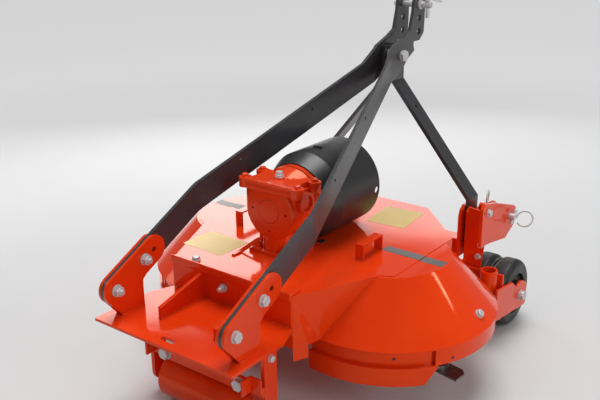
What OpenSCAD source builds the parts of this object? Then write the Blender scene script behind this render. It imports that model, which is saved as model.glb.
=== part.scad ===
// Two-rotor mower carried on a three-point linkage, parked on its front wheels and rear roller.
// X points to the machine's right, Y forwards to the tractor and Z up from the ground.
// Places along Y are written from the line of the two rotor axes, and the whole is then centred.

/* [Deck] */
// Distance of each rotor axis from the centre line
rotor_x = 246; // [244:1:252]
// Radius of each cone apron at its lower rim
rim_r = 305; // [300:1:308]
// Radius of each cone apron at the deck top
cone_top_r = 174; // [165:1:182]
// Height of the deck top above the ground
deck_z = 366; // [360:1:372]
// Height of the apron rims above the ground
rim_z = 220; // [214:1:224]
// Thickness of the deck sheet
sheet_t = 5; // [4:0.5:6]
// Step from the top plate down to the caps of the cones
cap_step = 2; // [1:0.5:3]
// Half width of the deck's rear wall
wall_half = 205; // [195:1:212]
// Distance of the rear wall behind the rotor axes
wall_back = 384; // [375:1:392]
// Half width of the deck's straight front edge
front_half = 168; // [160:1:176]
// Distance of the front edge ahead of the rotor axes
front_reach = 362; // [356:1:366]
// Half width of the top plate where it crosses the cones
side_half = 346; // [336:1:352]
// Angle behind the X axis at which the rear side wall leaves each cone
side_angle = 66; // [60:1:70]
// Depth of the vertical band below each rim
band_h = 48; // [42:1:54]
// Thickness of the bands and the rear skirts
band_t = 4; // [3:0.5:5]
// Angle ahead of the X axis where each band ends
band_front = 62; // [55:1:66]
// Height of the rear skirts' lower edge above the ground
skirt_z = 121; // [114:1:130]
// Angle behind the X axis where the skirt's upper corner ends
skirt_top_angle = 33; // [28:1:40]
// Angle behind the X axis where the skirt's lower corner ends
skirt_low_angle = 40; // [36:1:46]

/* [Rear carrier] */
// Distance of the shelf's rear edge behind the rotor axes
shelf_back = 643; // [638:1:655]
// Half width of the shelf
shelf_half = 234; // [230:1:242]
// Height of the shelf's upper face
shelf_z = 281; // [276:1:286]
// Thickness of the shelf plate
shelf_t = 8; // [6:1:10]
// Rear wall plate thickness
wall_t = 6; // [5:0.5:8]
// Width of the flange that lies on the deck top
flange_w = 42; // [34:1:50]
// Distance of the gussets from the centre line
gusset_x = 95; // [85:1:105]
// Length of the gussets along the shelf
gusset_l = 158; // [140:1:170]
// Thickness of the gussets
gusset_t = 10; // [8:1:12]

/* [Arms and mast] */
// Distance of the arm brackets from the centre line
bracket_x = 199; // [194:1:202]
// Lower arm bolt, distance behind the rotor axes
arm_bolt_back = 603; // [598:1:606]
// Lower arm bolt, height above the ground
arm_bolt_z = 356; // [352:1:360]
// Rise of the arms in their brackets, in degrees
arm_rise = 27; // [26.6:0.1:27.4]
// Rise of the arms ahead of their bend, in degrees
mast_rise = 23.7; // [23.4:0.1:24]
// Spacing of the lower and the upper arm bolt
arm_bolt_gap = 112; // [106:1:116]
// Spacing of the upper arm bolt and the spare hole
spare_gap = 38; // [34:1:42]
// Width of the arm bars
arm_w = 74; // [68:1:78]
// Thickness of the arm bars and their mast heads
arm_t = 10; // [8:1:12]
// Thickness of the bracket cheeks
cheek_t = 8; // [6:1:10]
// Width across the mast heads, outer face to outer face
mast_w = 68; // [64:1:74]
// Distance of the top-link holes ahead of the rotor axes
top_link_y = 499; // [494:1:503]
// Height of the lowest top-link hole
top_link_z = 891; // [888:1:896]
// Spacing of the top-link holes
top_link_gap = 41; // [38:1:43]
// Diameter of the top-link holes
top_link_d = 20; // [19.5:0.1:21]

/* [Front legs and lower links] */
// Width of the front legs along Y
leg_w = 58; // [52:1:62]
// Thickness of the front legs
leg_t = 12; // [10:1:12]
// Distance of the legs' middle ahead of the rotor axes
leg_y = 402; // [398:1:406]
// Height at which the legs bend to vertical above the brackets
leg_bend_z = 416; // [412:1:424]
// Distance of each lower-link clevis from the centre line
link_x = 340.5; // [339:0.5:342]
// Clear gap of each lower-link clevis
link_gap = 55; // [53:1:57]
// Thickness of the lower-link cheeks
link_t = 10; // [9:1:10]
// Distance of the lower-link pins ahead of the rotor axes
link_y = 509; // [504:1:513]
// Height of the lower-link pins
link_z = 340; // [335:1:345]
// Diameter of the lower-link pins
link_d = 22; // [20:1:24]
// Side of the square front beam
beam_s = 50; // [46:1:52]
// Wall of the front beam
beam_t = 5; // [4:0.5:6]
// Height of the front beam's upper face
beam_z = 286; // [282:1:292]

/* [Drive] */
// Distance of the gearbox rear cap behind the rotor axes
cover_back = 222; // [218:1:226]
// Radius of the gearbox barrel
barrel_r = 82; // [78:1:84]
// Radius of the flange that carries the shaft guard
flange_r = 102; // [98:1:104]
// Height of the gearbox joint face above the input axis
joint_up = 65; // [62:1:68]
// Half distance across the gearbox lugs
lug_x = 90; // [88:1:94]
// Radius of a gearbox lug
lug_r = 18; // [16:1:20]
// Thickness of the lid's flange
lid_t = 15; // [13:1:17]
// Radius of the shaft guard
guard_r = 127; // [124:1:130]
// Gap between the shaft guard and the deck
guard_gap = 1; // [0.8:0.1:3]
// Distance of the guard's front rim ahead of the rotor axes
guard_front = 136; // [130:1:142]
// Wall of the shaft guard
guard_t = 4; // [3:0.5:5]
// Diameter of the drive stub
stub_d = 34.9; // [33:0.1:36]
// Radial clearance of every turning shaft
shaft_gap = 0.05; // [0.03:0.01:0.08]

/* [Rotors] */
// Radius of the blade tips
blade_r = 280; // [272:1:284]
// Height of the blades' underside
blade_z = 84; // [80:1:90]
// Thickness of a blade
blade_t = 6; // [5:0.5:7]
// Width of a blade
blade_w = 56; // [50:1:60]
// Radius of the rotor spindles
spindle_r = 20; // [18:1:22]

/* [Front wheels] */
// Radius of the front wheels
wheel_r = 107; // [104:1:110]
// Width of one wheel
wheel_w = 66; // [62:1:68]
// Distance of the twin wheels' middle from the centre line
wheel_x = 370; // [366:1:373]
// Spacing of the two wheels of a pair
wheel_gap = 72; // [70:1:76]
// Distance of the wheel axles ahead of the rotor axes
wheel_y = 461; // [459:1:465]
// Diameter of the wheel axles
axle_d = 24; // [20:1:26]
// Thickness of the wheel plates
fork_t = 8; // [6:1:9]
// Radius of the upright sockets
socket_r = 26; // [24:1:28]
// Height of the sockets' open tops
socket_z = 236; // [230:1:242]

/* [Rear roller] */
// Radius of the roller
roller_r = 63; // [60:1:66]
// Half length of the roller drum
roller_half = 148; // [140:1:154]
// Distance of the roller axis behind the rotor axes
roller_back = 462; // [458:1:466]
// Diameter of the roller's stub axles
roller_axle_d = 25; // [22:1:28]
// Thickness of the roller legs
roller_leg_t = 12; // [10:1:12]
// Height of the bar across the roller legs
roller_bar_h = 40; // [34:1:44]

/* [Hidden] */
$fn = 64;

// Paint and metal colours
orange = [0.90, 0.22, 0.04];
charcoal = [0.20, 0.20, 0.22];
black = [0.06, 0.06, 0.065];
zinc = [0.72, 0.73, 0.74];
steel = [0.33, 0.32, 0.31];
// Small overlap of a cutting tool past the face it cuts
cut = 1;

// The whole stands centred between the shelf's rear edge and the fronts of the wheels
centre_y = (shelf_back - wheel_y - wheel_r) / 2;

// Upper faces below the top plate and the wall's horizontal run on the slope of the cones
cap_z = deck_z - cap_step;
cone_slope = (rim_r - cone_top_r) / (cap_z - rim_z);
wall_run = sheet_t * sqrt(1 + cone_slope * cone_slope);
band_z = rim_z - band_h;

// Right half of the top plate, from its rear corner round to the front edge; its side corners lie on the caps
corner_r = cone_top_r - 8;
side_wall_end = [rotor_x + corner_r * cos(side_angle), -corner_r * sin(side_angle)];
side_y = sqrt(corner_r * corner_r - (side_half - rotor_x) * (side_half - rotor_x));
deck_half = [
    [wall_half, -wall_back], side_wall_end, [side_half, -side_y],
    [side_half, front_reach - (side_half - front_half)], [front_half, front_reach]
];
// Folds of the slanting facet behind each cone: its foot on the rim and the foot of the upright wall behind it
wall_corner = [wall_half, -wall_back];
wall_end = wall_corner + 44 * (side_wall_end - wall_corner) / norm(side_wall_end - wall_corner);
facet_top = [[wall_corner[0], wall_corner[1], deck_z], [side_wall_end[0], side_wall_end[1], deck_z]];
facet_foot = [rotor_x - 0.05 * rim_r, -0.998 * rim_r, rim_z];
wall_foot = [wall_end[0], wall_end[1], rim_z];
deck_plan = concat(deck_half, [for (i = [len(deck_half) - 1:-1:0]) [-deck_half[i][0], deck_half[i][1]]]);

// Rear corner of the rim: the lip that the cones leave over the bands, and the groove above the skirts
lip = 3;
band_r = rim_r - lip;
groove = 13;
corner_z = 184;

// Belt case under the deck
case_h = 62;
case_r = 118;
case_z = cap_z - sheet_t - case_h;

// Arms: the line of their middle in side view and their bends in plan
arm_dir = [cos(arm_rise), sin(arm_rise)];
mast_across = [-sin(mast_rise), cos(mast_rise)];
arm_bolt = [-arm_bolt_back, arm_bolt_z];
arm_bend_y = -290;
mast_bend_y = 338;
arm_knee = [arm_bend_y, arm_bolt_z + (arm_bend_y + arm_bolt_back) * tan(arm_rise)];
function arm_at(run) = arm_bolt + run * arm_dir;
function arm_at_y(y) = [y, arm_knee[1] + (y - arm_bend_y) * tan(mast_rise)];
mast_x = (mast_w - arm_t) / 2;
top_pin_z = top_link_z + 2 * top_link_gap;
head_r = 34;
mast_bolt = [leg_y, arm_at_y(leg_y)[1] + 8];
mast_bolt_r = 10;

// Lower-link cheeks, from the inside outwards
link_b = link_x - link_gap / 2 - link_t;
link_c = link_x + link_gap / 2;
leg_x = link_b - leg_t / 2;
link_a = link_b - leg_t - link_t;
leg_top_x = mast_x - arm_t / 2 - leg_t / 2;
leg_top_z = mast_bolt[1] + 30;
leg_top_bend_z = mast_bolt[1] - 76;
link_foot_z = 272;
link_rear_y = 312;
link_top_z = 432;
link_mid_y = leg_y - leg_w / 2 - 19;
spacer_y = leg_y + leg_w / 2 - 1;
link_front_y = link_y + 55;

// Gearbox along Y
drive_z = deck_z + guard_r + guard_gap;
joint_z = drive_z + joint_up;
cap_proud = 2;
breather_z = drive_z + barrel_r + 3;
cap_t = 8;
cap_r = 33;
cover_y = -cover_back + cap_proud;
edge_round = 8;
flare_y = cover_y + 52;
lug_rear = cover_y + 12;
lug_front = lug_rear + 74;
split_y = lug_front + lug_r;
breather_y = (lug_rear + lug_front) / 2;
guard_rear = split_y + 14;
barrel_front = -52;
hub_r = 50;
body_half = lug_x - 6;
boss_r = 30;
neck_r = 50;
neck_y = cover_y + 51;
base_half = 68;
base_t = 10;
stub_rear = barrel_front + 14;
stub_front = 62;
journal_r = 22;

// Rotor parts below the belt case
carrier_t = 12;
carrier_z = blade_z + blade_t;
carrier_half = 190;
housing_z = 150;
housing_r = 46;

// Front wheels
socket_x = 410;
web_t = 8;
web_y = 333;
socket_y = web_y + 4 - socket_r;
web_z = 218;
web_foot = 70;
plate_gap = 7;
plate_out = wheel_x + wheel_gap / 2 + wheel_w / 2 + plate_gap;
plate_in = wheel_x - wheel_gap / 2 - wheel_w / 2 - plate_gap - fork_t;

// Rear roller
roller_leg_x = 191;
roller_leg_half = 32;
roller_leg_w = 48;
roller_bar_t = 10;
roller_bar_z = 2 * roller_r + 6;
roller_tongue_h = 26;

// Moves a piece from the rotor line to the centred frame
module placed() translate([0, centre_y, 0]) children();

// Mirrors a right-hand piece to the left for side = -1
module on_side(side) mirror([side < 0 ? 1 : 0, 0, 0]) children();

// Plate in the YZ plane between two places along X
module side_plate(x0, x1) translate([x0, 0, 0]) rotate([90, 0, 90]) linear_extrude(x1 - x0) children();

// Round bar along X between two places at a point in the YZ plane
module cross_bar(x0, x1, at, r) translate([x0, at[0], at[1]]) rotate([0, 90, 0]) cylinder(h = x1 - x0, r = r);

// Round bar along Y between two places at a point in the XZ plane
module long_bar(y0, y1, at, r) translate([at[0], y1, at[1]]) rotate([90, 0, 0]) cylinder(h = y1 - y0, r = r);

// Flat bar with round ends between two points
module capsule(a, b, r) {
    run = b - a;
    translate(a) circle(r);
    translate(b) circle(r);
    half = r - 0.1;
    translate(a) rotate(atan2(run[1], run[0])) translate([0, -half]) square([norm(run), 2 * half]);
}

// Moves every edge of a counter-clockwise outline inwards by d
function unit(v) = v / norm(v);
function left_of(v) = [-v[1], v[0]];
function corner(p, q, r, d) =
    let (n = left_of(unit(q - p)), m = left_of(unit(r - q))) q + d * (n + m) / (1 + n * m);
function inset(pts, d) =
    let (n = len(pts)) [for (i = [0:n - 1]) corner(pts[(i + n - 1) % n], pts[i], pts[(i + 1) % n], d)];

// Outline of a strip of half width d along an open path
function beside(path, d) =
    let (n = len(path)) [
        for (i = [0:n - 1])
            i == 0 ? path[0] + d * left_of(unit(path[1] - path[0]))
            : i == n - 1 ? path[i] + d * left_of(unit(path[i] - path[i - 1]))
            : corner(path[i - 1], path[i], path[i + 1], d)
    ];
function strip(path, d) = let (l = beside(path, d), r = beside(path, -d))
    concat(r, [for (i = [len(l) - 1:-1:0]) l[i]]);

// Radius of the cone aprons at a height
function cone_r(z) = rim_r - (z - rim_z) * cone_slope;

// Both cones, thinned by a run, between two heights
module cones(run, z0, z1)
    for (side = [-1, 1])
        translate([side * rotor_x, 0, z0])
            cylinder(h = z1 - z0, r1 = cone_r(z0) - run, r2 = cone_r(z1) - run);

// Space on the outer side of the plane through three points, moved outwards by d
module beyond(a, b, c, d) {
    n = cross(b - a, c - a) / norm(cross(b - a, c - a));
    reach = 2 * rim_r;
    translate(a) rotate([0, acos(n[2]), atan2(n[1], n[0])]) translate([-reach, -reach, d]) cube([2 * reach, 2 * reach, reach]);
}

// What the two facets cut from the deck's upright side walls behind the cones
module side_facets(d)
    for (side = [-1, 1]) on_side(side) intersection() {
        beyond(facet_top[0], facet_foot, facet_top[1], d);
        beyond(facet_top[0], wall_foot, facet_foot, d);
        translate([0, -2 * wall_back, 0]) cube([2 * rim_r, 2 * wall_back + side_wall_end[1], 2 * deck_z]);
    }

// Deck of bent sheet: flat top with side walls, run into a cone over each rotor, open below
module deck_shell() color(orange) placed()
    difference() {
        union() {
            difference() {
                translate([0, 0, rim_z]) linear_extrude(deck_z - rim_z) polygon(deck_plan);
                side_facets(0);
            }
            cones(0, rim_z, cap_z);
        }
        difference() {
            translate([0, 0, rim_z - cut])
                linear_extrude(deck_z - sheet_t - rim_z + cut) polygon(inset(deck_plan, sheet_t));
            side_facets(-sheet_t);
        }
        cones(wall_run, rim_z - cut, cap_z - sheet_t);
    }

// Closed case of the belt drive under the deck, from one spindle to the other
module belt_case() color(orange) placed()
    translate([0, 0, case_z]) {
        for (side = [-1, 1]) translate([side * rotor_x, 0, 0]) cylinder(h = case_h, r = case_r);
        translate([-rotor_x, -case_r, 0]) cube([2 * rotor_x, 2 * case_r, case_h]);
    }

// Sector of a ring on the right-hand rotor, between two angles
module ring_sector(r, t, h, from, to) {
    reach = 2 * r;
    intersection() {
        difference() {
            cylinder(h = h, r = r);
            translate([0, 0, -cut]) cylinder(h = h + 2 * cut, r = r - t);
        }
        translate([0, 0, -cut]) linear_extrude(h + 2 * cut)
            polygon([[0, 0], for (i = [0:4]) reach * [cos(from + i * (to - from) / 4), sin(from + i * (to - from) / 4)]]);
    }
}

// Upright band round the rim, the deeper skirt hung from a groove behind the rotor, and the corner plate of the wall
module rim_skirt(side) color(orange) placed() on_side(side) {
    translate([rotor_x, 0, 0]) {
        translate([0, 0, band_z]) ring_sector(band_r, band_t, band_h, -skirt_top_angle - 1.5, band_front);
        translate([0, 0, rim_z - band_t]) ring_sector(band_r, groove + band_t, band_t, -101, -skirt_top_angle);
        translate([0, 0, band_z - band_t / 2]) ring_sector(band_r - groove, band_t, band_h, -101, -skirt_top_angle);
        translate([0, 0, band_z - band_t]) ring_sector(band_r, groove + band_t, band_t, -101, -skirt_top_angle);
        difference() {
            translate([0, 0, skirt_z]) ring_sector(band_r, band_t, band_z - skirt_z, -101, -skirt_top_angle);
            low = rim_r * [cos(skirt_low_angle), -sin(skirt_low_angle)];
            top = rim_r * [cos(skirt_top_angle), -sin(skirt_top_angle)];
            run = norm(top - low);
            translate([low[0], low[1], skirt_z - cut])
                rotate([90, 0, atan2(top[1] - low[1], top[0] - low[0])])
                    translate([0, 0, -rim_r / 4]) linear_extrude(rim_r / 2)
                        polygon([[0, 0], [2 * run, 0], [2 * run, band_z - skirt_z - band_t], [run, band_z - skirt_z - band_t]]);
        }
    }
    inward = left_of(unit(wall_end - wall_corner));
    translate([0, 0, corner_z]) linear_extrude(rim_z - corner_z)
        polygon([wall_corner, wall_end, wall_end + band_t * inward, wall_corner + band_t * [-1, 1]]);
}
module rim_skirt_left() rim_skirt(-1);
module rim_skirt_right() rim_skirt(1);

// Plate that closes the rear of the deck, turned over on its top edge
module rear_wall() color(orange) placed() {
    translate([-wall_half, -wall_back - wall_t, shelf_z]) cube([2 * wall_half, wall_t, deck_z + wall_t - shelf_z]);
    translate([-wall_half, -wall_back - wall_t, deck_z]) cube([2 * wall_half, flange_w, wall_t]);
}

// Two upright gussets between the rear wall and the shelf
module rear_gusset() color(orange) placed()
    for (x = [-gusset_x, gusset_x]) side_plate(x - gusset_t / 2, x + gusset_t / 2)
        translate([-wall_back - wall_t, 0])
            polygon([[-gusset_l, shelf_z], [0, shelf_z], [0, deck_z - 12], [-gusset_l, shelf_z + 33]]);

// Level plate behind the deck that carries the arm brackets
module rear_shelf() color(orange) placed() {
    slot_l = 30;
    slot_r = 8;
    slot_y = -shelf_back + 31;
    translate([0, 0, shelf_z - shelf_t]) linear_extrude(shelf_t) difference() {
        polygon([
            [-shelf_half, -shelf_back], [shelf_half, -shelf_back], [shelf_half, -shelf_back + 188],
            [wall_half, -wall_back], [-wall_half, -wall_back], [-shelf_half, -shelf_back + 188]
        ]);
        capsule([-slot_l / 2, slot_y], [slot_l / 2, slot_y], slot_r);
    }
}

// Pair of cheeks that hold the lower end of an arm
module arm_bracket(side) color(orange) placed() on_side(side) {
    spare = arm_at(arm_bolt_gap + spare_gap);
    for (x = [bracket_x - arm_t / 2 - cheek_t, bracket_x + arm_t / 2])
        side_plate(x, x + cheek_t) difference() {
            union() {
                capsule(arm_bolt, spare, arm_w / 2 + 1);
                polygon([
                    arm_bolt + [-26, -26], [-arm_bolt_back + 13, shelf_z], [-arm_bolt_back + 88, shelf_z],
                    [-arm_bolt_back + 88, shelf_z + 72], spare + [0, -30], arm_bolt
                ]);
            }
            translate(spare) circle(7);
        }
}
module arm_bracket_left() arm_bracket(-1);
module arm_bracket_right() arm_bracket(1);

// Side view of an arm and its mast head
module arm_side() {
    end = arm_at_y(mast_bend_y + 40);
    half = arm_w / 2;
    difference() {
        union() {
            translate(arm_bolt) circle(half);
            polygon(strip([arm_bolt, arm_knee, end], half));
            polygon([
                arm_at_y(mast_bend_y - 30) - half * mast_across, end - half * mast_across, [top_link_y - 64, 812],
                [top_link_y - 24, 834], [top_link_y - 30, 848], [top_link_y - 30, 862], [top_link_y + 6, 862],
                [top_link_y + 31, 884], [top_link_y + head_r, 921], [top_link_y + head_r, top_pin_z],
                [top_link_y - head_r, top_pin_z], [top_link_y - head_r - 2, 956], [top_link_y - 52, 900],
                [top_link_y - 87, 883], [mast_bend_y + 10, 861], arm_at_y(mast_bend_y - 30) + half * mast_across
            ]);
            translate([top_link_y, top_pin_z]) circle(head_r);
        }
        for (i = [0:2]) translate([top_link_y, top_link_z + i * top_link_gap]) circle(top_link_d / 2);
        translate(arm_at(arm_bolt_gap + spare_gap)) circle(5);
        for (y = [-146, 97]) translate(arm_at_y(y) + [0, 16]) circle(5);
        translate(mast_bolt) circle(mast_bolt_r + 0.5);
    }
}

// Flat arm from a rear bracket to the mast, bent twice in plan, with the top-link holes in its head
module rear_arm(side) color(charcoal) placed() on_side(side) {
    path = [[bracket_x, -shelf_back - 60], [bracket_x, arm_bend_y], [mast_x, mast_bend_y], [mast_x, top_link_y + 120]];
    intersection() {
        linear_extrude(top_pin_z + 120) polygon(strip(path, arm_t / 2));
        side_plate(0, bracket_x + 100) arm_side();
    }
}
module rear_arm_left() rear_arm(-1);
module rear_arm_right() rear_arm(1);

// Flat leg from the mast down to a lower-link bracket, bent upright at both ends
module front_leg(side) color(charcoal) placed() on_side(side) {
    path = [
        [leg_x, link_foot_z], [leg_x, leg_bend_z], [leg_top_x, leg_top_bend_z], [leg_top_x, leg_top_z]
    ];
    difference() {
        translate([0, leg_y + leg_w / 2, 0]) rotate([90, 0, 0]) linear_extrude(leg_w) polygon(strip(path, leg_t / 2));
        cross_bar(-cut, leg_top_x + leg_t, mast_bolt, mast_bolt_r + 0.5);
        lean = atan2(leg_top_bend_z - leg_bend_z, leg_x - leg_top_x);
        translate([leg_x - 0.76 * (leg_x - leg_top_x), leg_y, leg_bend_z + 0.76 * (leg_top_bend_z - leg_bend_z)])
            rotate([0, 90 - lean, 0]) cylinder(h = 3 * leg_t, r = 5, center = true);
    }
}
module front_leg_left() front_leg(-1);
module front_leg_right() front_leg(1);

// Bolt through the mast heads and the legs, with a spacer tube between the legs
module mast_spacer() color(zinc) placed() {
    inner = leg_top_x - leg_t / 2;
    outer = mast_x + arm_t / 2;
    cross_bar(-inner, inner, mast_bolt, 17);
    cross_bar(-outer, outer, mast_bolt, mast_bolt_r);
    for (side = [-1, 1]) on_side(side) cross_bar(outer, outer + 11, mast_bolt, 15);
}

// Top-link pin with its collars
module top_link_pin() color(zinc) placed() {
    at = [top_link_y, top_pin_z];
    outer = mast_x + arm_t / 2;
    cross_bar(-outer - 20, outer + 40, at, top_link_d / 2 - 0.5);
    cross_bar(-outer - 12, -outer, at, 15);
    cross_bar(outer, outer + 6, at, 15);
}

// Square tube across the front of the deck, closed at its ends by the inner cheeks
module front_beam() color(orange) placed()
    translate([-link_a, front_reach, beam_z - beam_s]) difference() {
        cube([2 * link_a, beam_s, beam_s]);
        translate([-cut, beam_t, beam_t]) cube([2 * (link_a + cut), beam_s - 2 * beam_t, beam_s - 2 * beam_t]);
    }

// Outline of the clevis cheeks in side view, from a rear edge up to a top height
module link_outline(rear, top) difference() {
    polygon([
        [rear, link_foot_z + 28], [rear + 64, link_foot_z + 21], [link_y - 20, link_foot_z],
        [link_front_y - 16, link_z - 40], [link_front_y - 7, link_z - 20], [link_front_y - 7, link_z + 16],
        [link_front_y - 24, link_z + 28], [link_y - 103, top - 18], [rear + 18, top], [rear, top - 12]
    ]);
    translate([link_y, link_z]) circle(link_d / 2 + 0.3);
}

// Three cheeks of a lower-link bracket: two that clamp the leg, and the outer one of the clevis on its spacers
module link_bracket(side) color(orange) placed() on_side(side) {
    rear = leg_y - leg_w / 2 - 26;
    foot = beam_z - beam_s;
    front = leg_y + leg_w / 2;
    top = leg_bend_z - 16;
    side_plate(link_a, link_a + link_t)
        polygon([[rear, foot], [front, foot], [front, top], [rear + 25, top], [rear + 7, top - 12], [rear, top - 30]]);
    side_plate(link_b, link_b + link_t) {
        link_outline(link_mid_y, leg_bend_z - 18);
        polygon([
            [web_y + web_t, web_z - 28], [wheel_y - 81, web_z - 28], [wheel_y - 59, web_z - 6], [wheel_y - 28, web_z + 10],
            [link_y - 60, link_foot_z + 6], [link_y - 60, link_foot_z + 60], [link_mid_y, link_foot_z + 60],
            [link_mid_y, web_z + 12], [web_y + web_t, web_z + 12]
        ]);
    }
    side_plate(link_c, link_c + link_t) link_outline(link_rear_y, link_top_z);
    translate([0, link_mid_y + 8, 0]) rotate([90, 0, 0]) linear_extrude(8) polygon([
        [link_b + link_t - 1, web_z - 28], [link_c - 10, web_z - 28], [link_c + 1, link_foot_z + 30],
        [link_c + 1, link_z + 54], [link_b + link_t - 1, link_z + 62]
    ]);
    for (z = [link_z - 36, link_z + 44]) cross_bar(link_b + link_t, link_c, [spacer_y, z], 12);
}
module link_bracket_left() link_bracket(-1);
module link_bracket_right() link_bracket(1);

// Lower-link pin through both clevis cheeks
module link_pin(side) color(zinc) placed() on_side(side)
    cross_bar(link_b - 18, link_c + link_t + 20, [link_y, link_z], link_d / 2);
module link_pin_left() link_pin(-1);
module link_pin_right() link_pin(1);

// Turned form of the gearbox about the shaft: rounded rear, barrel, flare to the guard's flange and front hub
module gearbox_body()
    translate([0, 0, drive_z]) rotate([-90, 0, 0]) rotate_extrude() polygon([
        [0, cover_y], [barrel_r - edge_round, cover_y], [barrel_r - 2, cover_y + 3], [barrel_r, cover_y + edge_round],
        [barrel_r, flare_y], [flange_r - 4, split_y - 2], [flange_r, split_y], [flange_r, guard_rear],
        [hub_r, guard_rear], [hub_r, barrel_front], [0, barrel_front]
    ]);

// Plan of the gearbox joint: a lug at each corner, drawn in between them
module joint_plan(half) {
    for (x = [-lug_x, lug_x], y = [lug_rear, lug_front]) translate([x, y]) circle(lug_r);
    translate([-half, lug_rear - 4]) square([2 * half, lug_front - lug_rear + 8]);
    for (y = [lug_rear, lug_front]) translate([-lug_x, y - lug_r + 5]) square([2 * lug_x, 2 * lug_r - 10]);
}

// Gearbox casting: turned body, square shoulders up to the joint, side bosses, neck and bolted base
module gearbox_housing() color(orange) placed()
    difference() {
        union() {
            gearbox_body();
            translate([-body_half, lug_rear - 4, drive_z]) cube([2 * body_half, lug_front - lug_rear + 8, joint_up]);
            translate([0, 0, joint_z - 12]) linear_extrude(12) joint_plan(body_half);
            cross_bar(-body_half - 10, body_half + 10, [(lug_rear + lug_front) / 2, joint_z - boss_r - 6], boss_r);
            translate([0, neck_y, deck_z]) cylinder(h = drive_z - deck_z, r = neck_r);
            translate([-base_half, neck_y - base_half + 10, deck_z]) cube([2 * base_half, 2 * base_half - 20, base_t]);
            for (x = [-body_half + 10, body_half - 16])
                translate([x, neck_y - 5, deck_z]) cube([6, 10, drive_z - deck_z]);
        }
        translate([-2 * lug_x, cover_y - cut, joint_z]) cube([4 * lug_x, split_y - cover_y + cut, flange_r]);
        for (side = [-1, 1]) on_side(side)
            cross_bar(body_half + 4, body_half + 10 + cut, [(lug_rear + lug_front) / 2, joint_z - boss_r - 6], boss_r - 8);
        for (turn = [0:90:270]) translate([0, 0, drive_z]) rotate([0, turn, 0]) long_bar(cover_y - cut, cover_y + 10, [57, 0], 3.5);
        long_bar(cover_y - cut, cover_y + cap_t - cap_proud, [0, drive_z], cap_r + 0.3);
        long_bar(barrel_front - 60, barrel_front + cut, [0, drive_z], journal_r + shaft_gap);
    }

// Upper part of the gearbox above the joint, with a lug at each corner
module gearbox_lid() color(orange) placed() {
    intersection() {
        gearbox_body();
        translate([-2 * lug_x, cover_y, joint_z]) cube([4 * lug_x, split_y - cover_y, flange_r]);
    }
    translate([0, 0, joint_z]) linear_extrude(lid_t) joint_plan(body_half - 8);
    translate([0, breather_y, joint_z]) cylinder(h = breather_z - joint_z, r = 14);
}

// Round cap pressed into the rear of the gearbox
module gearbox_cover() color(orange) placed()
    long_bar(cover_y - cap_proud, cover_y + cap_t - cap_proud, [0, drive_z], cap_r);

// Breather plug on the gearbox lid
module breather() color(zinc) placed()
    translate([0, breather_y, breather_z]) cylinder(h = 16, r = 9);

// Bell-shaped guard round the drive stub, open to the front
module shaft_guard() color(black) placed() {
    length = guard_front - guard_rear;
    cone_l = 50;
    rear_r = flange_r + 4;
    inner = hub_r + 4;
    hole_r = 10;
    difference() {
        translate([0, guard_rear, drive_z]) rotate([-90, 0, 0]) rotate_extrude() polygon([
            [inner, 0], [rear_r, 0], [guard_r, cone_l], [guard_r, length], [guard_r - guard_t, length],
            [guard_r - guard_t, cone_l + guard_t / 2], [rear_r - guard_t, guard_t], [inner, guard_t]
        ]);
        cross_bar(-2 * guard_r, 2 * guard_r, [guard_front - hole_r - 4, drive_z - 8], hole_r);
    }
}

// Drive stub that takes the tractor's shaft, with its thicker journal in the gearbox
module drive_stub() color(steel) placed() {
    long_bar(barrel_front - 58, stub_rear, [0, drive_z], journal_r);
    long_bar(stub_rear, stub_front, [0, drive_z], stub_d / 2);
}

// Bent strap on the deck beside the gearbox
module hook(side) color(orange * 0.9) placed() on_side(side) {
    strap_t = 5;
    strap_l = 99;
    strap_h = 45;
    translate([215, -102, deck_z]) side_plate(-13, 13)
        difference() {
            square([strap_l, strap_h]);
            translate([strap_t, -cut]) square([strap_l - 2 * strap_t, strap_h - strap_t + cut]);
        }
}
module hook_left() hook(-1);
module hook_right() hook(1);

// Bearing housing of a rotor spindle below the belt case
module spindle_housing(side) color(orange) placed() on_side(side) translate([rotor_x, 0, 0])
    difference() {
        union() {
            translate([0, 0, housing_z]) cylinder(h = case_z - housing_z, r = housing_r);
            translate([0, 0, case_z - 14]) cylinder(h = 14, r = housing_r + 30);
        }
        translate([0, 0, housing_z - cut]) cylinder(h = 90 + cut, r = spindle_r + shaft_gap);
    }
module spindle_housing_left() spindle_housing(-1);
module spindle_housing_right() spindle_housing(1);

// Rotor: spindle, hub and the carrier bar of the blades, turned by an angle about its axis
module rotor(side, turn) color(steel) placed() translate([side * rotor_x, 0, 0]) rotate(turn) {
    translate([0, 0, carrier_z]) cylinder(h = housing_z - 6 - carrier_z, r = 40);
    translate([0, 0, carrier_z]) cylinder(h = housing_z + 86 - carrier_z, r = spindle_r);
    translate([0, 0, carrier_z]) linear_extrude(carrier_t) capsule([-carrier_half, 0], [carrier_half, 0], 32);
}
module rotor_left() rotor(-1, 101);
module rotor_right() rotor(1, -11);

// Pair of cutting blades bolted under the ends of a carrier
module blades(side, turn) color(steel) placed() translate([side * rotor_x, 0, blade_z]) rotate(turn)
    for (end = [0, 180]) rotate(end) linear_extrude(blade_t) {
        root = carrier_half - 34;
        half = blade_w / 2;
        polygon([[root, -half], [blade_r - 6, -half], [blade_r - 10, half - 14], [blade_r - 26, half], [root, half]]);
    }
module blades_left() blades(-1, 101);
module blades_right() blades(1, -11);

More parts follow.
